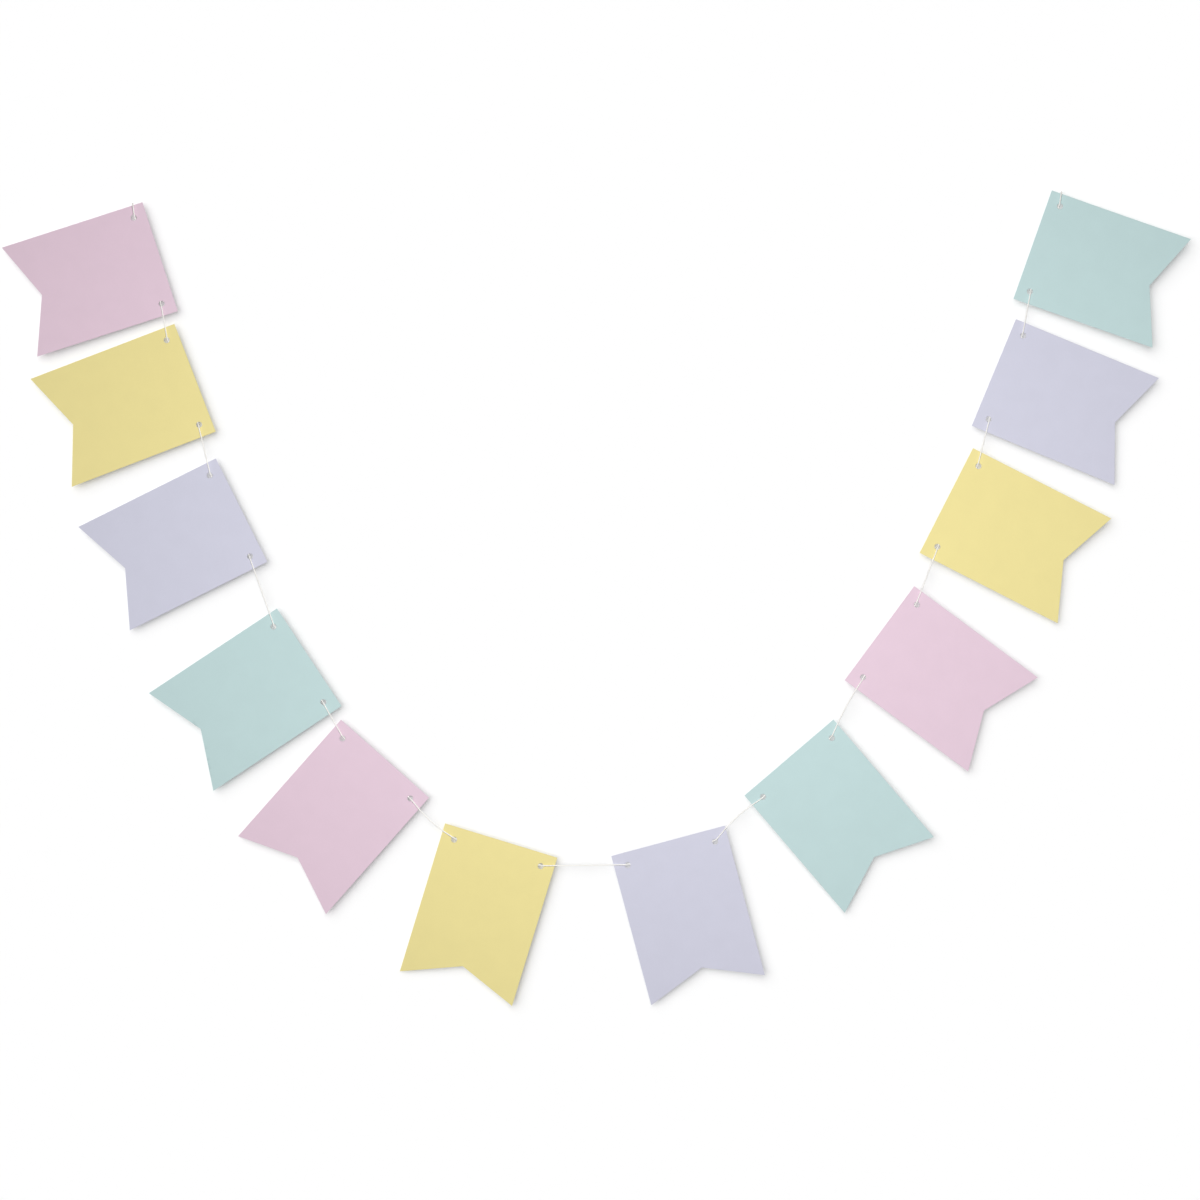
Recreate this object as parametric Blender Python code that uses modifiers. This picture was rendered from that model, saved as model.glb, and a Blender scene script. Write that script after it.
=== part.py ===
"""Paper bunting: twelve swallowtail pennants of card, threaded on one string and hung as a swag.

Metres, +Z up. The fronts of the pennants face -Y. The origin is the left hanging point, where the
string turns round the outer edge of the first pennant.
"""

import math
from collections import namedtuple

import bmesh
import bpy
from mathutils import Vector

MM = 0.001

# Pennants
CARD_THICKNESS = 1.0 * MM
NOTCH_DEPTH = 23.5 * MM
HOLE_DIAMETER = 6.0 * MM
HOLE_SPACING = 90.5 * MM
HOLE_DROP = 13.0 * MM
HOLE_SIDES = 24

# String
STRING_DIAMETER = 1.4 * MM
STRING_LAY = 1.6 * MM
CROSSING_RUN = 2.1 * MM
HOLE_SEAT = 0.9 * MM
BOW_STATIONS = (0.25, 0.5, 0.75)

# The string's turn round the outer edge of an end pennant
TURN_RADIUS = 2.9 * MM
TURN_INSET = 1.0 * MM
TURN_RISE = 3.2 * MM
TURN_STEPS = 6

# Hitches that tie the string's ends to itself behind the end pennants
HITCH_TURNS = 3
HITCH_BORE_RADIUS = 1.1 * MM
HITCH_RADIUS = 2.4 * MM
HITCH_VALLEY_RADIUS = 2.1 * MM
HITCH_SETBACK = 9.5 * MM
HITCH_LAY = 3.3 * MM
HITCH_SIDES = 16
STRAND_SPACING = 1.8 * MM
GAP = 0.35 * MM

# Hung places: across and down from the left hanging point to the middle between the two holes, and
# the climb of the line through the holes from left to right. Bow is how far the string after the
# pennant stands above the straight line to the next one.
Pennant = namedtuple("Pennant", "card across_mm down_mm climb_deg width_mm length_mm bow_mm")
PENNANTS = [
    Pennant("pink", 15.3, 57.3, -72.0, 114.5, 147.5, 0.0),
    Pennant("yellow", 50.5, 179.0, -69.0, 115.5, 154.0, 0.0),
    Pennant("lavender", 97.5, 312.5, -63.5, 115.5, 153.5, 0.0),
    Pennant("mint", 166.0, 461.0, -56.5, 117.0, 153.5, 0.0),
    Pennant("pink", 244.0, 565.0, -41.5, 117.5, 155.5, -3.0),
    Pennant("yellow", 365.0, 649.5, -17.0, 117.5, 155.0, 0.0),
    Pennant("lavender", 539.0, 650.0, 15.0, 117.5, 154.5, 3.0),
    Pennant("mint", 665.0, 564.0, 40.5, 117.0, 154.5, 1.5),
    Pennant("pink", 757.5, 437.5, 53.5, 117.0, 153.5, 0.0),
    Pennant("yellow", 825.5, 303.0, 63.0, 117.5, 155.0, 0.0),
    Pennant("lavender", 873.5, 174.0, 67.5, 115.5, 154.5, 0.0),
    Pennant("mint", 912.5, 45.5, 70.5, 115.0, 147.0, 0.0),
]

Finish = namedtuple("Finish", "colour roughness")
FINISHES = {
    "pink": Finish((0.76, 0.60, 0.69), 0.85),
    "yellow": Finish((0.83, 0.73, 0.34), 0.85),
    "lavender": Finish((0.64, 0.64, 0.74), 0.85),
    "mint": Finish((0.54, 0.71, 0.70), 0.85),
    "string": Finish((0.90, 0.89, 0.86), 0.90),
}


def clear_scene():
    for obj in list(bpy.data.objects):
        bpy.data.objects.remove(obj, do_unlink=True)


def make_collection(name):
    collection = bpy.data.collections.new(name)
    bpy.context.scene.collection.children.link(collection)
    return collection


def make_material(name, finish):
    material = bpy.data.materials.new(name)
    material.use_nodes = True
    shader = material.node_tree.nodes["Principled BSDF"]
    shader.inputs["Base Color"].default_value = (*finish.colour, 1.0)
    shader.inputs["Roughness"].default_value = finish.roughness
    shader.inputs["Metallic"].default_value = 0.0
    return material


def middle(pennant):
    """The middle between a pennant's two holes."""
    return Vector((pennant.across_mm * MM, 0.0, -pennant.down_mm * MM))


def along_holes(pennant):
    """The direction of the line through a pennant's holes, from left to right."""
    climb = math.radians(pennant.climb_deg)
    return Vector((math.cos(climb), 0.0, math.sin(climb)))


def point_on(pennant, along, behind=0.0, above=0.0):
    """A point by its place on a pennant: along the holes' line from its middle, behind the card's
    middle plane, and above the line towards the card's top edge."""
    run = along_holes(pennant)
    rise = Vector((-run.z, 0.0, run.x))
    return middle(pennant) + run * along + rise * above + Vector((0.0, behind, 0.0))


def add_ring(curve, centre, radius, sides):
    """A closed round of straight sides in a flat curve."""
    spline = curve.splines.new("POLY")
    spline.points.add(sides - 1)
    for k, point in enumerate(spline.points):
        angle = 2 * math.pi * k / sides
        point.co = (centre + radius * math.cos(angle), radius * math.sin(angle), 0.0, 1.0)
    spline.use_cyclic_u = True


def make_pennant(name, pennant, material, collection):
    """A flat swallowtail card with two punched holes, its origin midway between the holes."""
    half_width = pennant.width_mm * MM / 2
    top = HOLE_DROP
    tail = HOLE_DROP - pennant.length_mm * MM
    outline = [
        (-half_width, top),
        (-half_width, tail),
        (0.0, tail + NOTCH_DEPTH),
        (half_width, tail),
        (half_width, top),
    ]
    curve = bpy.data.curves.new(name, "CURVE")
    curve.dimensions = "2D"
    curve.fill_mode = "BOTH"
    curve.extrude = CARD_THICKNESS / 2
    spline = curve.splines.new("POLY")
    spline.points.add(len(outline) - 1)
    for point, (x, y) in zip(spline.points, outline):
        point.co = (x, y, 0.0, 1.0)
    spline.use_cyclic_u = True
    for side in (-1, 1):
        add_ring(curve, side * HOLE_SPACING / 2, HOLE_DIAMETER / 2, HOLE_SIDES)
    curve.materials.append(material)
    obj = bpy.data.objects.new(name, curve)
    obj.location = middle(pennant)
    obj.rotation_euler = (math.pi / 2, -math.radians(pennant.climb_deg), 0.0)
    collection.objects.link(obj)
    return obj


def seat(pennant, side):
    """How far above a hole's middle the string lies. It pulls itself straight between the holes of
    its neighbours, so that in the lower hole of a steep pennant it lies below the middle."""
    slope = math.sin(math.radians(pennant.climb_deg))
    is_lower = side * slope < 0
    return HOLE_SEAT * (1 - 2 * abs(slope)) if is_lower else HOLE_SEAT


def threaded(pennant, side):
    """The string's place in a pennant's left or right hole, in the card's middle plane."""
    return point_on(pennant, side * HOLE_SPACING / 2, above=seat(pennant, side))


def crossing(pennant, side, towards):
    """The string through one hole: its place behind the card on the way to the other hole, and its
    place in front on the way to the point towards."""
    hole = threaded(pennant, side)
    inward = (threaded(pennant, -side) - hole).normalized()
    outward = (towards - hole).normalized()
    lay = Vector((0.0, STRING_LAY, 0.0))
    return hole + inward * CROSSING_RUN + lay, hole + outward * CROSSING_RUN - lay


def gap_stations(start, finish, bow):
    """Points along the string between two pennants, where it bows off the straight line."""
    if bow == 0.0:
        return []
    run = finish - start
    upward = Vector((-run.z, 0.0, run.x)).normalized()
    return [start + run * t + upward * bow * MM * math.sin(math.pi * t) for t in BOW_STATIONS]


def end_turn(pennant, side):
    """The string at an end pennant, from beside its hitch to the front of the outer hole: it runs
    out behind the card, turns round the card's edge and comes back in front."""
    hole = HOLE_SPACING / 2
    centre = pennant.width_mm * MM / 2 - TURN_INSET
    hitch_end = hole - HITCH_SETBACK + GAP

    def at(along, behind, above):
        return point_on(pennant, side * along, behind, above)

    points = [
        at(hitch_end, HITCH_LAY, STRAND_SPACING),
        at(hole, HITCH_LAY, (STRAND_SPACING + TURN_RISE) / 2),
    ]
    for k in range(TURN_STEPS + 1):
        angle = math.pi * (0.5 - k / TURN_STEPS)
        along = centre + TURN_RADIUS * math.cos(angle)
        points.append(at(along, TURN_RADIUS * math.sin(angle), TURN_RISE))
    return points


def hitch_lift(pennant, side):
    """The string behind an end pennant, lifted off the card by its hitch: from the hole's side of
    the hitch to where it lies on the card again."""
    near = HOLE_SPACING / 2 - HITCH_SETBACK
    length = HITCH_TURNS * STRING_DIAMETER
    return [
        point_on(pennant, side * (near + GAP), HITCH_LAY),
        point_on(pennant, side * (near - length - GAP), HITCH_LAY),
        point_on(pennant, side * (near - length - 2 * HITCH_SETBACK / 3), STRING_LAY),
    ]


def string_route():
    """The string's points from its left end to its right end: in front of the gaps between the
    pennants, and behind each pennant from hole to hole."""
    first, last = PENNANTS[0], PENNANTS[-1]
    left_turn, right_turn = end_turn(first, -1), end_turn(last, 1)
    route = list(left_turn)
    for k, pennant in enumerate(PENNANTS):
        came_from = left_turn[-1] if pennant is first else threaded(PENNANTS[k - 1], 1)
        goes_to = right_turn[-1] if pennant is last else threaded(PENNANTS[k + 1], -1)
        behind_left, front_left = crossing(pennant, -1, came_from)
        behind_right, front_right = crossing(pennant, 1, goes_to)
        if k > 0:
            route += gap_stations(route[-1], front_left, PENNANTS[k - 1].bow_mm)
        route += [front_left, behind_left]
        if pennant is first:
            route += hitch_lift(pennant, -1)
        if pennant is last:
            route += reversed(hitch_lift(pennant, 1))
        route += [behind_right, front_right]
    route += reversed(right_turn)
    return route


def make_string(name, material, collection):
    """One round string along its route."""
    route = string_route()
    curve = bpy.data.curves.new(name, "CURVE")
    curve.dimensions = "3D"
    curve.bevel_depth = STRING_DIAMETER / 2
    curve.bevel_resolution = 2
    curve.use_fill_caps = True
    spline = curve.splines.new("POLY")
    spline.points.add(len(route) - 1)
    for point, place in zip(spline.points, route):
        point.co = (*place, 1.0)
    curve.materials.append(material)
    obj = bpy.data.objects.new(name, curve)
    collection.objects.link(obj)
    return obj


def make_hitch(name, pennant, side, material, collection):
    """The turns of the string's end round itself, as one ribbed ring that the string runs through."""
    turn = STRING_DIAMETER
    length = HITCH_TURNS * turn
    profile = [(HITCH_VALLEY_RADIUS, length)]
    for k in reversed(range(HITCH_TURNS)):
        profile.append((HITCH_RADIUS, (k + 0.5) * turn))
        profile.append((HITCH_VALLEY_RADIUS, k * turn))
    profile += [(HITCH_BORE_RADIUS, 0.0), (HITCH_BORE_RADIUS, length)]

    mesh = bpy.data.meshes.new(name)
    shape = bmesh.new()
    corners = [shape.verts.new((radius, 0.0, height)) for radius, height in profile]
    for k, corner in enumerate(corners):
        shape.edges.new((corner, corners[(k + 1) % len(corners)]))
    shape.to_mesh(mesh)
    shape.free()
    mesh.materials.append(material)

    obj = bpy.data.objects.new(name, mesh)
    turned = obj.modifiers.new("Turned", "SCREW")
    turned.axis = "Z"
    turned.angle = 2 * math.pi
    turned.steps = HITCH_SIDES
    turned.render_steps = HITCH_SIDES
    turned.use_merge_vertices = True
    turned.merge_threshold = 0.01 * MM
    turned.use_smooth_shade = False
    inward = along_holes(pennant) * -side
    obj.location = point_on(pennant, side * (HOLE_SPACING / 2 - HITCH_SETBACK), HITCH_LAY)
    obj.rotation_euler = inward.to_track_quat("Z", "Y").to_euler()
    collection.objects.link(obj)
    return obj


def main():
    clear_scene()
    parts = make_collection("paper_bunting")
    materials = {name: make_material(name, finish) for name, finish in FINISHES.items()}
    for number, pennant in enumerate(PENNANTS, start=1):
        make_pennant(f"pennant_{number:02d}", pennant, materials[pennant.card], parts)
    make_string("string", materials["string"], parts)
    make_hitch("hitch_left", PENNANTS[0], -1, materials["string"], parts)
    make_hitch("hitch_right", PENNANTS[-1], 1, materials["string"], parts)


main()
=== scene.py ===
"""Paper bunting: twelve swallowtail cards threaded on white twine and hung as a swag.

Metres, +Z up. The fronts of the cards face -Y, and the origin is the left hanging point.
"""

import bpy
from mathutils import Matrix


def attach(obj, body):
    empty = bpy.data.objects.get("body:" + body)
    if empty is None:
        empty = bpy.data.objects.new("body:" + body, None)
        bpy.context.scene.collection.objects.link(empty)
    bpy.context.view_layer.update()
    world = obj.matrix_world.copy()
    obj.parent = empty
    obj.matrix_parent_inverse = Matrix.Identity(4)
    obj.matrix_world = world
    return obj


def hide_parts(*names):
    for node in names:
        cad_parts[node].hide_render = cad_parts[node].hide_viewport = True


bl_info = {
    "name": "Paper Bunting",
    "version": (1, 0, 0),
    "blender": (4, 5, 0),
    "location": "View3D > Sidebar > Bunting",
    "description": "Threads pastel swallowtail cards on twisted twine and hangs them as a swag",
    "category": "Add Mesh",
}

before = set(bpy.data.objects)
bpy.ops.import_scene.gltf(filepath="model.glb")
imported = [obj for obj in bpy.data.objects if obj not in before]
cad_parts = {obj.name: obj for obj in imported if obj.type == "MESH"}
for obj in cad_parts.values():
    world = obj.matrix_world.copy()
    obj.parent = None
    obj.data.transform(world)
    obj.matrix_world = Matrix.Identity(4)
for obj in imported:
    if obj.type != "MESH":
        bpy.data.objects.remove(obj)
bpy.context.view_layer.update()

import math
from collections import namedtuple

import bmesh
import bpy
import numpy as np
from mathutils import Vector, noise

MM = 0.001
BODY = "root"

# The cards' cut, the same as in the solids
NOTCH_DEPTH = 23.5 * MM
HOLE_DIAMETER = 6.0 * MM
HOLE_SPACING = 90.5 * MM
HOLE_DROP = 13.0 * MM
HOLE_SIDES = 48

# The string's route, the same as in the solids but for the lay: it lies closer to the thinner card
STRING_LAY = 1.05 * MM
CROSSING_RUN = 2.1 * MM
HOLE_SEAT = 0.9 * MM
BOW_STATIONS = (0.25, 0.5, 0.75)
TURN_RADIUS = 2.9 * MM
TURN_INSET = 1.0 * MM
TURN_RISE = 3.2 * MM
TURN_STEPS = 6
HITCH_SETBACK = 9.5 * MM
HITCH_LENGTH = 4.2 * MM
HITCH_LAY = 3.3 * MM
STRAND_SPACING = 1.8 * MM
HITCH_GAP = 0.35 * MM

# Hung places: across and down from the left hanging point to the middle between the two holes, and
# the climb of the line through the holes from left to right. Bow is how far the string after the
# pennant stands above the straight line to the next one. Curl and twist are how far the middle of
# the tail edge, and its right end against its left, would stand out towards the front on a card
# that bent all the way from its top edge.
Pennant = namedtuple(
    "Pennant", "card across_mm down_mm climb_deg width_mm length_mm bow_mm curl_mm twist_mm"
)
PENNANTS = [
    Pennant("pink", 15.3, 57.3, -72.0, 114.5, 147.5, 0.0, 2.2, 0.3),
    Pennant("yellow", 50.5, 179.0, -69.0, 115.5, 154.0, 0.0, 1.5, 0.4),
    Pennant("lavender", 97.5, 312.5, -63.5, 115.5, 153.5, 0.0, 0.5, 1.0),
    Pennant("mint", 166.0, 461.0, -56.5, 117.0, 153.5, 0.0, 1.3, 0.5),
    Pennant("pink", 244.0, 565.0, -41.5, 117.5, 155.5, -3.0, 0.2, 2.0),
    Pennant("yellow", 365.0, 649.5, -17.0, 117.5, 155.0, 0.0, -0.8, 4.0),
    Pennant("lavender", 539.0, 650.0, 15.0, 117.5, 154.5, 3.0, 0.8, 3.0),
    Pennant("mint", 665.0, 564.0, 40.5, 117.0, 154.5, 1.5, 0.25, 3.0),
    Pennant("pink", 757.5, 437.5, 53.5, 117.0, 153.5, 0.0, 0.9, 0.8),
    Pennant("yellow", 825.5, 303.0, 63.0, 117.5, 155.0, 0.0, 0.5, 3.5),
    Pennant("lavender", 873.5, 174.0, 67.5, 115.5, 154.5, 0.0, 0.6, 2.5),
    Pennant("mint", 912.5, 45.5, 70.5, 115.0, 147.0, 0.0, 4.5, 1.0),
]

# The photograph's frame at the cards' plane: its width, and its middle from the hanging point
FRAME_WIDTH = 1.2
FRAME_ACROSS = 467.6 * MM
FRAME_DOWN = 396.6 * MM
LENS_MM = 100.0
SENSOR_MM = 36.0

# A Mix node's sockets share their names, so they are picked by number: its two values and the
# mixed one, and its two colours and the mixed one
VALUE_A, VALUE_B, MIXED_VALUE = 2, 3, 0
COLOUR_A, COLOUR_B, MIXED_COLOUR = 6, 7, 2


def linear(hex_colour):
    """An sRGB hex colour as linear red, green and blue."""
    levels = [int(hex_colour[k:k + 2], 16) / 255 for k in (1, 3, 5)]
    return tuple(v / 12.92 if v <= 0.04045 else ((v + 0.055) / 1.055) ** 2.4 for v in levels)


def add_node(tree, kind, settings=None, inputs=None):
    """A node of one kind, with its settings, and with its inputs set or linked from other sockets."""
    node = tree.nodes.new(kind)
    for name, value in (settings or {}).items():
        setattr(node, name, value)
    for name, value in (inputs or {}).items():
        if isinstance(value, bpy.types.NodeSocket):
            tree.links.new(value, node.inputs[name])
        else:
            node.inputs[name].default_value = value
    return node


def new_material(name):
    """A new material and its node tree, which is still empty."""
    material = bpy.data.materials.new(name)
    material.use_nodes = True
    material.node_tree.nodes.clear()
    return material, material.node_tree


def add_object(name, data, location=(0.0, 0.0, 0.0), rotation=(0.0, 0.0, 0.0)):
    """An object in the scene, at its place and turned by three angles in radians."""
    obj = bpy.data.objects.new(name, data)
    obj.location = location
    obj.rotation_euler = rotation
    bpy.context.scene.collection.objects.link(obj)
    return obj


# Where the cards hang and how the string runs


def middle(pennant):
    """The middle between a pennant's two holes."""
    return Vector((pennant.across_mm * MM, 0.0, -pennant.down_mm * MM))


def along_holes(pennant):
    """The direction of the line through a pennant's holes, from left to right."""
    climb = math.radians(pennant.climb_deg)
    return Vector((math.cos(climb), 0.0, math.sin(climb)))


def point_on(pennant, along, behind=0.0, above=0.0):
    """A point by its place on a pennant: along the holes' line from its middle, behind the card's
    middle plane, and above the line towards the card's top edge."""
    run = along_holes(pennant)
    rise = Vector((-run.z, 0.0, run.x))
    return middle(pennant) + run * along + rise * above + Vector((0.0, behind, 0.0))


def seat(pennant, side):
    """How far above a hole's middle the string lies. It pulls itself straight between the holes of
    its neighbours, so that in the lower hole of a steep pennant it lies below the middle."""
    slope = math.sin(math.radians(pennant.climb_deg))
    is_lower = side * slope < 0
    return HOLE_SEAT * (1 - 2 * abs(slope)) if is_lower else HOLE_SEAT


def threaded(pennant, side):
    """The string's place in a pennant's left or right hole, in the card's middle plane."""
    return point_on(pennant, side * HOLE_SPACING / 2, above=seat(pennant, side))


def crossing(pennant, side, towards):
    """The string through one hole: its place behind the card on the way to the other hole, and its
    place in front on the way to the point towards."""
    hole = threaded(pennant, side)
    inward = (threaded(pennant, -side) - hole).normalized()
    outward = (towards - hole).normalized()
    lay = Vector((0.0, STRING_LAY, 0.0))
    return hole + inward * CROSSING_RUN + lay, hole + outward * CROSSING_RUN - lay


def gap_stations(start, finish, bow):
    """Points along the string between two pennants, where it bows off the straight line."""
    if bow == 0.0:
        return []
    run = finish - start
    upward = Vector((-run.z, 0.0, run.x)).normalized()
    return [start + run * t + upward * bow * MM * math.sin(math.pi * t) for t in BOW_STATIONS]


def end_turn(pennant, side):
    """The string at an end pennant, from beside its hitch to the front of the outer hole: it runs
    out behind the card, turns round the card's edge and comes back in front."""
    hole = HOLE_SPACING / 2
    centre = pennant.width_mm * MM / 2 - TURN_INSET
    hitch_end = hole - HITCH_SETBACK + HITCH_GAP

    def at(along, behind, above):
        return point_on(pennant, side * along, behind, above)

    points = [
        at(hitch_end, HITCH_LAY, STRAND_SPACING),
        at(hole, HITCH_LAY, (STRAND_SPACING + TURN_RISE) / 2),
    ]
    for k in range(TURN_STEPS + 1):
        angle = math.pi * (0.5 - k / TURN_STEPS)
        along = centre + TURN_RADIUS * math.cos(angle)
        points.append(at(along, TURN_RADIUS * math.sin(angle), TURN_RISE))
    return points


def hitch_lift(pennant, side):
    """The string behind an end pennant, lifted off the card by its hitch: from the hole's side of
    the hitch to where it lies on the card again."""
    near = HOLE_SPACING / 2 - HITCH_SETBACK
    return [
        point_on(pennant, side * (near + HITCH_GAP), HITCH_LAY),
        point_on(pennant, side * (near - HITCH_LENGTH - HITCH_GAP), HITCH_LAY),
        point_on(pennant, side * (near - HITCH_LENGTH - 2 * HITCH_SETBACK / 3), STRING_LAY),
    ]


def string_route():
    """The string's points from its left end to its right end: in front of the gaps between the
    pennants, and behind each pennant from hole to hole."""
    first, last = PENNANTS[0], PENNANTS[-1]
    left_turn, right_turn = end_turn(first, -1), end_turn(last, 1)
    route = list(left_turn)
    for k, pennant in enumerate(PENNANTS):
        came_from = left_turn[-1] if pennant is first else threaded(PENNANTS[k - 1], 1)
        goes_to = right_turn[-1] if pennant is last else threaded(PENNANTS[k + 1], -1)
        behind_left, front_left = crossing(pennant, -1, came_from)
        behind_right, front_right = crossing(pennant, 1, goes_to)
        if k > 0:
            route += gap_stations(route[-1], front_left, PENNANTS[k - 1].bow_mm)
        route += [front_left, behind_left]
        if pennant is first:
            route += hitch_lift(pennant, -1)
        if pennant is last:
            route += reversed(hitch_lift(pennant, 1))
        route += [behind_right, front_right]
    route += reversed(right_turn)
    return route


# The twine

# From the left hitch to the right one
STRING_STEP = 0.45 * MM
CORNER_REACH = 1.5 * MM
PLY_COUNT = 3
PLY_SIDES = 4
# The depth of the groove between two plies, as a share of the twine's radius
PLY_GROOVE = 0.42
HITCH_TURNS = 3
HITCH_TURN_STEPS = 16
HITCH_WRAP_RADIUS = 1.5 * MM
# The free end past a hitch comes to rest on the card's back: shares of its length, each with the
# place there behind the card's middle plane and above the line through the holes, in millimetres
HITCH_TAIL = 13.0 * MM
TAIL_STATIONS = ((0.15, 4.0, 1.9), (0.4, 3.0, 3.4), (0.7, 1.9, 4.6), (1.0, 1.5, 5.0))
# Cotton fibres are finer than this, 0.02 mm, and are drawn as tufts of this size so that they show
COTTON_TUFT = 0.6 * MM


def even_line(points, step):
    """The same line with its points an even step apart."""
    points = np.array([tuple(point) for point in points])
    runs = np.linalg.norm(np.diff(points, axis=0), axis=1)
    along = np.concatenate(([0.0], np.cumsum(runs)))
    stations = np.linspace(0.0, along[-1], round(along[-1] / step) + 1)
    return np.column_stack([np.interp(stations, along, points[:, axis]) for axis in range(3)])


def smooth_line(points, step, reach):
    """The line with its corners rounded over a reach on either side, and its ends kept."""
    line = even_line(points, step)
    half = max(1, round(reach / step))
    weights = np.hanning(2 * half + 3)[1:-1]
    weights /= weights.sum()
    # The line goes on past each end as its own reflection, so that the ends stay where they are
    before = 2 * line[0] - line[half:0:-1]
    after = 2 * line[-1] - line[-2:-half - 2:-1]
    longer = np.concatenate((before, line, after))
    columns = [np.convolve(longer[:, axis], weights, mode="valid") for axis in range(3)]
    return np.column_stack(columns)


def poly_curve(name, dimensions, places):
    """A curve with one spline of straight runs through some places."""
    curve = bpy.data.curves.new(name, "CURVE")
    curve.dimensions = dimensions
    spline = curve.splines.new("POLY")
    spline.points.add(len(places) - 1)
    for point, place in zip(spline.points, places):
        point.co = (*place, 1.0)
    return curve, spline


def ply_profile(diameter):
    """The outline of the plies laid together, as a closed curve to sweep along the twine."""
    corners = PLY_COUNT * PLY_SIDES
    outline = []
    for k in range(corners):
        angle = 2 * math.pi * k / corners
        dip = PLY_GROOVE * (1 - abs(math.cos(PLY_COUNT * angle / 2)))
        radius = diameter / 2 * (1 - dip)
        outline.append((radius * math.cos(angle), radius * math.sin(angle), 0.0))
    curve, spline = poly_curve("ply_outline", "2D", outline)
    spline.use_cyclic_u = True
    return bpy.data.objects.new("ply_outline", curve)


def lay_twine(name, line, profile, twine, material):
    """Twisted twine along a line: the plies' outline swept along it, turning once in each lead."""
    curve, spline = poly_curve(name, "3D", line)
    curve.bevel_mode = "OBJECT"
    curve.bevel_object = profile
    curve.use_fill_caps = True
    curve.materials.append(material)
    step = np.linalg.norm(line[1] - line[0])
    for k, point in enumerate(spline.points):
        point.tilt = 2 * math.pi * k * step / twine.lead
    return add_object(name, curve)


def hitch_line(pennant, side):
    """The string's end round itself behind an end pennant, from beside the running string, through
    the hitch's turns, to the short free end."""
    near = HOLE_SPACING / 2 - HITCH_SETBACK
    points = [point_on(pennant, side * (near + HITCH_GAP), HITCH_LAY, STRAND_SPACING)]
    steps = HITCH_TURN_STEPS * HITCH_TURNS
    for k in range(2, steps + 1):
        turned = 2 * math.pi * HITCH_TURNS * k / steps
        along = near - HITCH_LENGTH * k / steps
        behind = HITCH_LAY + HITCH_WRAP_RADIUS * math.sin(turned)
        above = HITCH_WRAP_RADIUS * math.cos(turned)
        points.append(point_on(pennant, side * along, behind, above))
    for share, behind_mm, above_mm in TAIL_STATIONS:
        along = near - HITCH_LENGTH - HITCH_TAIL * share
        points.append(point_on(pennant, side * along, behind_mm * MM, above_mm * MM))
    return smooth_line(points, STRING_STEP, STRING_STEP)


def cotton_twine(twine):
    """The twine's material."""
    # Bleached cotton twine, three plies twisted together: soft white and quite matt, with a faint
    # fuzz of loose fibres that catches the light and keeps the grooves between the plies pale
    material, tree = new_material("bleached_cotton_twine")
    coords = add_node(tree, "ShaderNodeTexCoord")
    fibres = add_node(
        tree, "ShaderNodeTexNoise",
        inputs={"Vector": coords.outputs["Object"], "Scale": 1 / COTTON_TUFT, "Detail": 3.0},
    )
    tone = add_node(
        tree, "ShaderNodeMix", {"data_type": "RGBA"},
        {
            "Factor": fibres.outputs["Fac"],
            COLOUR_A: (*twine.shade, 1.0),
            COLOUR_B: (*twine.colour, 1.0),
        },
    )
    bump = add_node(
        tree, "ShaderNodeBump",
        inputs={"Height": fibres.outputs["Fac"], "Distance": 0.05 * MM, "Strength": 0.5},
    )
    shader = add_node(
        tree, "ShaderNodeBsdfPrincipled",
        inputs={
            "Base Color": tone.outputs[MIXED_COLOUR],
            "Roughness": 0.9,
            "IOR": 1.5,
            "Sheen Weight": 0.2,
            "Normal": bump.outputs["Normal"],
        },
    )
    add_node(tree, "ShaderNodeOutputMaterial", inputs={"Surface": shader.outputs["BSDF"]})
    return material


class TwineSettings(bpy.types.PropertyGroup):
    """Size, twist and colours of the twine"""

    diameter: bpy.props.FloatProperty(
        name="Diameter", description="Diameter of the twisted twine",
        default=1.4 * MM, min=0.5 * MM, precision=4, subtype="DISTANCE", unit="LENGTH",
    )
    lead: bpy.props.FloatProperty(
        name="Lead", description="Length of twine in which its plies turn once",
        default=5.5 * MM, min=2.0 * MM, precision=4, subtype="DISTANCE", unit="LENGTH",
    )
    colour: bpy.props.FloatVectorProperty(
        name="Colour", description="Colour of the cotton's lightest fibres",
        default=linear("#F8F7F4"), min=0.0, max=1.0, subtype="COLOR",
    )
    shade: bpy.props.FloatVectorProperty(
        name="Shade", description="Colour of the cotton's darkest fibres",
        default=linear("#EFECE6"), min=0.0, max=1.0, subtype="COLOR",
    )


class BUNTING_OT_twine(bpy.types.Operator):
    """Lays the twine through the cards' holes and ties its ends behind the end cards"""

    bl_idname = "bunting.twine"
    bl_label = "Thread Twine"
    bl_options = {"REGISTER", "UNDO"}

    def execute(self, context):
        twine = context.scene.bunting_twine
        material = cotton_twine(twine)
        profile = ply_profile(twine.diameter)
        line = smooth_line(string_route(), STRING_STEP, CORNER_REACH)
        string = lay_twine("twine", line, profile, twine, material)
        for end, pennant, side in (("left", PENNANTS[0], -1), ("right", PENNANTS[-1], 1)):
            hitch = lay_twine(f"hitch_turns_{end}", hitch_line(pennant, side), profile, twine, material)
            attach(hitch, BODY)
            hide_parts(f"hitch_{end}")
        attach(string, BODY)
        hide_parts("string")
        return {"FINISHED"}


# The cards

CARD_CELL = 4.0 * MM
CELL_TOLERANCE = 0.001 * MM
CUT_EDGE_BEVEL = 0.05 * MM
CORNER_ANGLE = math.radians(40)
# The string holds a card flat for this share of its length from the top edge. From there down the
# curl grows, and the waves grow this many times faster, up to their full height.
FLAT_SHARE = 0.15
WAVE_ONSET = 4
# A fresh cut shows the fibres' ends, which are this far from the pressed faces' colour to white
CUT_EDGE_PALENESS = 0.25
CLOUD_WIDTH = 18.0 * MM
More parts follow.
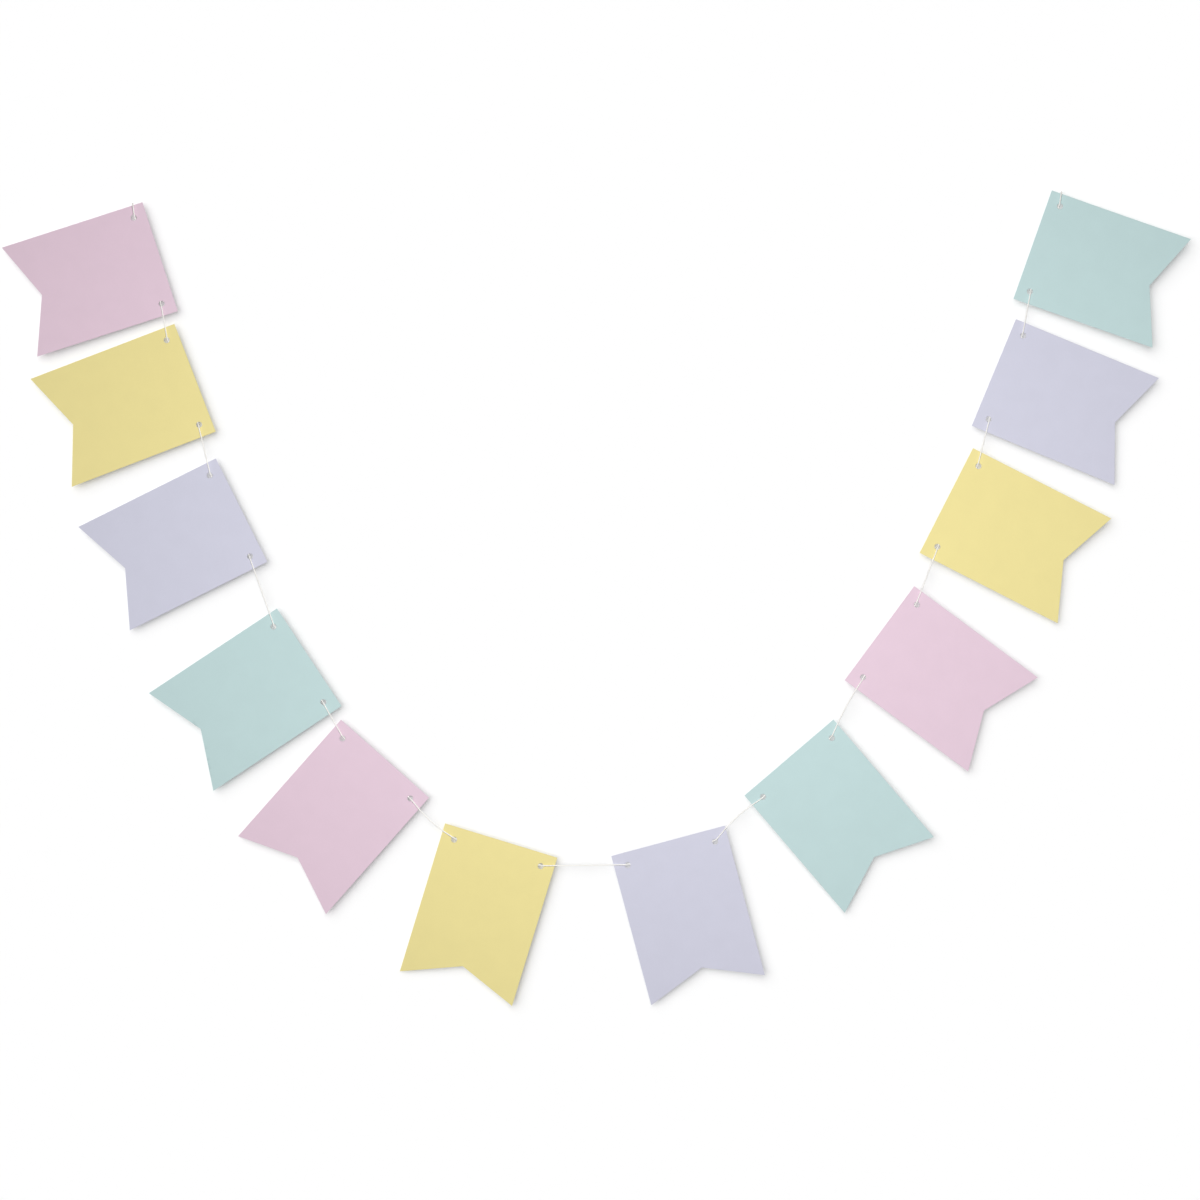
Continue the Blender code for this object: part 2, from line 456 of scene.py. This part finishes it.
# Paper fibres are finer than this, 0.05 mm, and are drawn at this width so that they show
FELT_GRAIN = 0.8 * MM


def swallowtail(pennant):
    """The corners of a card in its own plane, from the middle between its holes."""
    half_width = pennant.width_mm * MM / 2
    top = HOLE_DROP
    tail = HOLE_DROP - pennant.length_mm * MM
    return [
        (-half_width, top),
        (-half_width, tail),
        (0.0, tail + NOTCH_DEPTH),
        (half_width, tail),
        (half_width, top),
    ]


def punched_hole(side):
    """The corners of the hole on one side of a card."""
    centre = side * HOLE_SPACING / 2
    radius = HOLE_DIAMETER / 2
    angles = [2 * math.pi * k / HOLE_SIDES for k in range(HOLE_SIDES)]
    return [(centre + radius * math.cos(a), radius * math.sin(a)) for a in angles]


def cut_into_cells(blank, low, high):
    """Cuts a flat mesh along an even grid, so that it can bend."""
    for axis in (0, 1):
        count = math.ceil((high[axis] - low[axis]) / CARD_CELL)
        normal = Vector((1, 0, 0)) if axis == 0 else Vector((0, 1, 0))
        for place in np.linspace(low[axis], high[axis], count + 1)[1:-1]:
            everything = blank.verts[:] + blank.edges[:] + blank.faces[:]
            bmesh.ops.bisect_plane(
                blank, geom=everything, dist=CELL_TOLERANCE, plane_co=normal * place, plane_no=normal
            )


def sheet_lift(pennant, x, y, cards):
    """How far a point of a card stands out to the front: the tail's curl and twist, and the slight
    waves that damp air leaves in card."""
    reach = max(0.0, (HOLE_DROP - y) / (pennant.length_mm * MM) - FLAT_SHARE) ** 2
    across = 2 * x / (pennant.width_mm * MM)
    lift = (pennant.curl_mm + pennant.twist_mm * across / 2) * MM * reach
    place = Vector((x, y, pennant.across_mm * MM)) / cards.wave_length
    return lift + cards.wave_height * noise.noise(place) * min(1.0, reach * WAVE_ONSET)


def cut_blank(pennant):
    """A flat card: cut to its outline, punched, and divided into cells."""
    blank = bmesh.new()
    outline = swallowtail(pennant)
    for cut in (outline, punched_hole(-1), punched_hole(1)):
        corners = [blank.verts.new((x, y, 0.0)) for x, y in cut]
        for k, corner in enumerate(corners):
            blank.edges.new((corner, corners[(k + 1) % len(corners)]))
    bmesh.ops.triangle_fill(blank, use_beauty=True, edges=blank.edges[:], normal=(0, 0, 1))
    cut_into_cells(blank, np.min(outline, axis=0), np.max(outline, axis=0))
    return blank


def hang_card(name, pennant, cards, materials):
    """One card, bent as it hangs and given its thickness. Its cut edge takes the second material."""
    blank = cut_blank(pennant)
    for vert in blank.verts:
        vert.co.z = sheet_lift(pennant, vert.co.x, vert.co.y, cards)
    mesh = bpy.data.meshes.new(name)
    blank.to_mesh(mesh)
    blank.free()
    for material in materials:
        mesh.materials.append(material)

    turn = (math.pi / 2, -math.radians(pennant.climb_deg), 0.0)
    obj = add_object(name, mesh, middle(pennant), turn)
    thick = obj.modifiers.new("Thickness", "SOLIDIFY")
    thick.thickness = cards.thickness
    thick.offset = 0.0
    thick.use_even_offset = True
    thick.material_offset_rim = 1
    edge = obj.modifiers.new("Cut edge", "BEVEL")
    edge.width = CUT_EDGE_BEVEL
    edge.segments = 1
    edge.limit_method = "ANGLE"
    edge.angle_limit = CORNER_ANGLE
    settle(obj)
    return obj


def settle(obj):
    """Applies an object's modifiers, and shades it smooth but for its sharp corners."""
    graph = bpy.context.evaluated_depsgraph_get()
    mesh = bpy.data.meshes.new_from_object(obj.evaluated_get(graph))
    obj.modifiers.clear()
    obj.data = mesh
    mesh.shade_smooth()
    mesh.set_sharp_from_angle(angle=CORNER_ANGLE)


def dyed_card(name, colour):
    """A card's material."""
    # Uncoated card of about 250 g per square metre, dyed in the pulp: a matt, even pastel, with the
    # faint clouds that the pulp settles in and a fine felt grain
    material, tree = new_material(name)
    coords = add_node(tree, "ShaderNodeTexCoord")
    place = add_node(tree, "ShaderNodeObjectInfo")
    vector = add_node(
        tree, "ShaderNodeVectorMath", {"operation": "ADD"},
        {0: coords.outputs["Object"], 1: place.outputs["Location"]},
    )
    clouds = add_node(
        tree, "ShaderNodeTexNoise",
        inputs={"Vector": vector.outputs["Vector"], "Scale": 1 / CLOUD_WIDTH, "Detail": 4.0},
    )
    felt = add_node(
        tree, "ShaderNodeTexNoise",
        inputs={"Vector": vector.outputs["Vector"], "Scale": 1 / FELT_GRAIN, "Detail": 3.0},
    )
    # Each pattern makes the colour one per cent darker or lighter at most
    faint = {"From Min": 0.3, "From Max": 0.7, "To Min": 0.99, "To Max": 1.01}
    cloud_tone = add_node(
        tree, "ShaderNodeMapRange", inputs={"Value": clouds.outputs["Fac"], **faint}
    )
    felt_tone = add_node(tree, "ShaderNodeMapRange", inputs={"Value": felt.outputs["Fac"], **faint})
    tone = add_node(
        tree, "ShaderNodeMath", {"operation": "MULTIPLY"},
        {0: cloud_tone.outputs["Result"], 1: felt_tone.outputs["Result"]},
    )
    dye = add_node(
        tree, "ShaderNodeVectorMath", {"operation": "SCALE"},
        {0: tuple(colour), "Scale": tone.outputs["Value"]},
    )
    bump = add_node(
        tree, "ShaderNodeBump",
        inputs={"Height": felt.outputs["Fac"], "Distance": 0.03 * MM, "Strength": 0.4},
    )
    shader = add_node(
        tree, "ShaderNodeBsdfPrincipled",
        inputs={
            "Base Color": dye.outputs["Vector"],
            "Roughness": 0.85,
            "IOR": 1.47,
            "Specular IOR Level": 0.3,
            "Normal": bump.outputs["Normal"],
        },
    )
    add_node(tree, "ShaderNodeOutputMaterial", inputs={"Surface": shader.outputs["BSDF"]})
    return material


class CardSettings(bpy.types.PropertyGroup):
    """Sizes and colours of the cards"""

    thickness: bpy.props.FloatProperty(
        name="Thickness", description="Thickness of the card",
        default=0.35 * MM, min=0.1 * MM, precision=5, subtype="DISTANCE", unit="LENGTH",
    )
    wave_height: bpy.props.FloatProperty(
        name="Wave Height", description="Height of the slight waves in a card",
        default=0.25 * MM, min=0.0, precision=5, subtype="DISTANCE", unit="LENGTH",
    )
    wave_length: bpy.props.FloatProperty(
        name="Wave Length", description="Distance from one wave in a card to the next",
        default=60.0 * MM, min=10.0 * MM, precision=4, subtype="DISTANCE", unit="LENGTH",
    )
    pink: bpy.props.FloatVectorProperty(
        name="Pink", description="Colour of the pink card",
        default=linear("#DAC2D0"), min=0.0, max=1.0, subtype="COLOR",
    )
    yellow: bpy.props.FloatVectorProperty(
        name="Yellow", description="Colour of the yellow card",
        default=linear("#E3D694"), min=0.0, max=1.0, subtype="COLOR",
    )
    lavender: bpy.props.FloatVectorProperty(
        name="Lavender", description="Colour of the lavender card",
        default=linear("#C7C7D6"), min=0.0, max=1.0, subtype="COLOR",
    )
    mint: bpy.props.FloatVectorProperty(
        name="Mint", description="Colour of the mint card",
        default=linear("#B8CFCF"), min=0.0, max=1.0, subtype="COLOR",
    )


class BUNTING_OT_cards(bpy.types.Operator):
    """Cuts, punches and hangs the twelve cards"""

    bl_idname = "bunting.cards"
    bl_label = "Hang Cards"
    bl_options = {"REGISTER", "UNDO"}

    def execute(self, context):
        cards = context.scene.bunting_cards
        papers = {}
        for colour in ("pink", "yellow", "lavender", "mint"):
            dye = getattr(cards, colour)
            cut_dye = [value + (1 - value) * CUT_EDGE_PALENESS for value in dye]
            face = dyed_card(f"dyed_card_{colour}", dye)
            papers[colour] = [face, dyed_card(f"cut_edge_{colour}", cut_dye)]
        for number, pennant in enumerate(PENNANTS, start=1):
            card = hang_card(f"card_{number:02d}", pennant, cards, papers[pennant.card])
            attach(card, BODY)
            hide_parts(f"pennant_{number:02d}")
        return {"FINISHED"}


# The stage

BACKDROP_SIZE = 6.0
# From the hanging points down to the floor
FLOOR_DROP = 1.45

# The lights' directions and places, from the middle of the photograph's frame. A distant light
# gives the same light from anywhere in its direction, and stands at SUN_DISTANCE.
KEY_DIRECTION = Vector((-0.463, -1.0, 0.381))
FILL_DIRECTION = Vector((0.0, -1.0, 0.0))
OVERHEAD_DIRECTION = Vector((0.0, 0.0, 1.0))
OVERHEAD_ANGLE = math.radians(60)
SUN_DISTANCE = 3.0
FRONT_PLACE = Vector((0.05, -1.5, 0.13))
FRONT_SIZE = 1.0
REAR_PLACE = Vector((-0.2, 2.6, 0.8))
REAR_SIZE = 4.0


def frame_camera(centre):
    """The camera, straight in front, so that it sees the photograph's frame at the cards' plane."""
    camera = bpy.data.cameras.new("camera")
    camera.lens = LENS_MM
    camera.sensor_width = SENSOR_MM
    distance = FRAME_WIDTH * LENS_MM / SENSOR_MM
    place = centre - Vector((0.0, distance, 0.0))
    return add_object("camera", camera, place, (math.pi / 2, 0.0, 0.0))


def matt_paint(name, colour, one_sided=False):
    """A backdrop's material. From behind, one-sided paint can be seen through."""
    # Matt emulsion paint: plain, pale and without gloss
    material, tree = new_material(name)
    paint = add_node(
        tree, "ShaderNodeBsdfPrincipled",
        inputs={"Base Color": (*colour, 1.0), "Roughness": 0.95, "Specular IOR Level": 0.1},
    )
    surface = paint.outputs["BSDF"]
    if one_sided:
        facing = add_node(tree, "ShaderNodeNewGeometry")
        clear = add_node(tree, "ShaderNodeBsdfTransparent")
        mix = add_node(
            tree, "ShaderNodeMixShader",
            inputs={"Fac": facing.outputs["Backfacing"], 1: surface, 2: clear.outputs["BSDF"]},
        )
        surface = mix.outputs["Shader"]
    add_node(tree, "ShaderNodeOutputMaterial", inputs={"Surface": surface})
    return material


def add_backdrop(name, material, location, rotation=(0.0, 0.0, 0.0)):
    """A large flat square of the stage."""
    mesh = bpy.data.meshes.new(name)
    shape = bmesh.new()
    bmesh.ops.create_grid(shape, x_segments=1, y_segments=1, size=BACKDROP_SIZE / 2)
    shape.to_mesh(mesh)
    shape.free()
    mesh.materials.append(material)
    obj = add_object(name, mesh, location, rotation)
    return obj


def linked_group(name, objects, link_state):
    """A collection that names which objects a light reaches, or which it leaves out."""
    group = bpy.data.collections.new(name)
    for k, obj in enumerate(objects):
        group.objects.link(obj)
        group.collection_objects[k].light_linking.link_state = link_state
    return group


def add_light(name, kind, place, aim, power, reaches, shaded_by=None, **settings):
    """A light at a place, turned to where it aims and hidden from the camera. Two collections name
    the objects that it reaches, and those that cast shadows in it, where not all of them do."""
    light = bpy.data.lights.new(name, kind)
    light.energy = power
    for setting, value in settings.items():
        setattr(light, setting, value)
    obj = add_object(name, light, place, (aim - place).to_track_quat("-Z", "Y").to_euler())
    obj.visible_camera = False
    obj.light_linking.receiver_collection = reaches
    obj.light_linking.blocker_collection = shaded_by
    return obj


def light_backdrop(stage, centre, wall, floor, bunting):
    """Distant lights, so that the backdrop is as white at its edges as in its middle."""
    backdrop = linked_group("backdrop_only", (wall, floor), "INCLUDE")
    floor_only = linked_group("floor_only", (floor,), "INCLUDE")
    add_light(
        "key_light", "SUN", centre + KEY_DIRECTION * SUN_DISTANCE, centre, stage.key_strength,
        backdrop, bunting, angle=stage.key_angle,
    )
    fill = add_light(
        "fill_light", "SUN", centre + FILL_DIRECTION * SUN_DISTANCE, centre, stage.fill_strength,
        backdrop, use_shadow=False,
    )
    # The wall behind a card doesn't pass this light on, so that the holes stay a little darker
    fill.data.cycles.max_bounces = 0
    add_light(
        "floor_light", "SUN", centre + OVERHEAD_DIRECTION * SUN_DISTANCE, centre, stage.floor_strength,
        floor_only, bunting, angle=OVERHEAD_ANGLE,
    )


def light_bunting(stage, centre, bunting):
    """Near lights on the cards and the twine, from the front and from behind."""
    # The front light faces the wall, and is near enough to make the middle of the swag a little
    # brighter than its ends
    place = centre + FRONT_PLACE
    straight_ahead = place + Vector((0.0, 1.0, 0.0))
    add_light(
        "card_light", "AREA", place, straight_ahead, stage.card_power,
        bunting, shape="DISK", size=FRONT_SIZE,
    )
    rear = add_light(
        "rear_light", "AREA", centre + REAR_PLACE, centre, stage.rear_power,
        bunting, bunting, shape="DISK", size=REAR_SIZE,
    )
    # No card's back passes this light on to the wall, which would tint it
    rear.data.cycles.max_bounces = 0


def white_sky(ambient):
    """The world: plain white where the camera sees it, and a weak even light on all else."""
    world = bpy.data.worlds.new("studio")
    world.use_nodes = True
    tree = world.node_tree
    tree.nodes.clear()
    path = add_node(tree, "ShaderNodeLightPath")
    strength = add_node(
        tree, "ShaderNodeMix", {"data_type": "FLOAT"},
        {"Factor": path.outputs["Is Camera Ray"], VALUE_A: ambient, VALUE_B: 1.0},
    )
    light = add_node(
        tree, "ShaderNodeBackground",
        inputs={"Color": (1.0, 1.0, 1.0, 1.0), "Strength": strength.outputs[MIXED_VALUE]},
    )
    add_node(tree, "ShaderNodeOutputWorld", inputs={"Surface": light.outputs["Background"]})
    return world


class StageSettings(bpy.types.PropertyGroup):
    """The wall, the floor and the lights"""

    wall_gap: bpy.props.FloatProperty(
        name="Wall Gap", description="Distance from the cards' middle plane to the wall",
        default=6.3 * MM, min=6.0 * MM, precision=4, subtype="DISTANCE", unit="LENGTH",
    )
    paint: bpy.props.FloatVectorProperty(
        name="Paint", description="Colour of the wall and the floor",
        default=linear("#F0F0F0"), min=0.0, max=1.0, subtype="COLOR",
    )
    key_strength: bpy.props.FloatProperty(
        name="Key Strength", description="Strength of the backdrop's broad light from the upper left",
        default=2.88, min=0.0,
    )
    key_angle: bpy.props.FloatProperty(
        name="Key Angle", description="Angle that the broad light spans, which softens its shadows",
        default=math.radians(78), min=0.0, max=math.pi, subtype="ANGLE", unit="ROTATION",
    )
    fill_strength: bpy.props.FloatProperty(
        name="Fill Strength", description="Strength of the even light that brightens the shadows",
        default=0.9, min=0.0,
    )
    floor_strength: bpy.props.FloatProperty(
        name="Floor Strength", description="Strength of the light from above on the floor",
        default=2.3, min=0.0,
    )
    card_power: bpy.props.FloatProperty(
        name="Card Power", description="Power of the soft light on the bunting from the front",
        default=28.3, min=0.0, subtype="POWER", unit="POWER",
    )
    rear_power: bpy.props.FloatProperty(
        name="Rear Power", description="Power of the soft light on the backs of the cards",
        default=70.0, min=0.0, subtype="POWER", unit="POWER",
    )
    ambient: bpy.props.FloatProperty(
        name="Ambient", description="Strength of the light from all round",
        default=0.075, min=0.0,
    )


class BUNTING_OT_stage(bpy.types.Operator):
    """Sets up the camera, the pale wall and floor, and soft studio light"""

    bl_idname = "bunting.stage"
    bl_label = "Set Stage"
    bl_options = {"REGISTER", "UNDO"}

    def execute(self, context):
        scene = context.scene
        stage = scene.bunting_stage
        centre = Vector((FRAME_ACROSS, 0.0, -FRAME_DOWN))
        scene.camera = frame_camera(centre)
        scene.view_settings.view_transform = "Standard"

        # From behind, the wall lets the backs of the cards be seen
        wall_paint = matt_paint("wall_paint", stage.paint, one_sided=True)
        wall_place = (FRAME_ACROSS, stage.wall_gap, 0.0)
        wall = add_backdrop("wall", wall_paint, wall_place, (math.pi / 2, 0.0, 0.0))
        floor_paint = matt_paint("floor_paint", stage.paint)
        floor = add_backdrop("floor", floor_paint, (FRAME_ACROSS, 0.0, -FLOOR_DROP))
        # The floor doesn't brighten the lower part of the wall
        floor.visible_diffuse = False

        bunting = linked_group("all_but_backdrop", (wall, floor), "EXCLUDE")
        light_backdrop(stage, centre, wall, floor, bunting)
        light_bunting(stage, centre, bunting)
        scene.world = white_sky(stage.ambient)
        return {"FINISHED"}


class BUNTING_PT_panel(bpy.types.Panel):
    """Lists the steps that make the bunting, and what they can be changed by"""

    bl_idname = "BUNTING_PT_panel"
    bl_label = "Paper Bunting"
    bl_space_type = "VIEW_3D"
    bl_region_type = "UI"
    bl_category = "Bunting"

    def draw(self, context):
        scene = context.scene
        steps = (
            ("bunting.stage", scene.bunting_stage),
            ("bunting.twine", scene.bunting_twine),
            ("bunting.cards", scene.bunting_cards),
        )
        for operator, settings in steps:
            box = self.layout.box()
            box.operator(operator)
            for name in settings.__annotations__:
                box.prop(settings, name)


CLASSES = (
    TwineSettings,
    CardSettings,
    StageSettings,
    BUNTING_OT_stage,
    BUNTING_OT_twine,
    BUNTING_OT_cards,
    BUNTING_PT_panel,
)


def register():
    """Registers the classes, and hangs their settings on the scene."""
    for each in CLASSES:
        bpy.utils.register_class(each)
    bpy.types.Scene.bunting_twine = bpy.props.PointerProperty(type=TwineSettings)
    bpy.types.Scene.bunting_cards = bpy.props.PointerProperty(type=CardSettings)
    bpy.types.Scene.bunting_stage = bpy.props.PointerProperty(type=StageSettings)


def unregister():
    """Takes back what register adds."""
    del bpy.types.Scene.bunting_stage
    del bpy.types.Scene.bunting_cards
    del bpy.types.Scene.bunting_twine
    for each in reversed(CLASSES):
        bpy.utils.unregister_class(each)


def main():
    """Sets the stage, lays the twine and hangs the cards."""
    register()
    bpy.ops.bunting.stage()
    bpy.ops.bunting.twine()
    bpy.ops.bunting.cards()


if __name__ == "__main__":
    main()
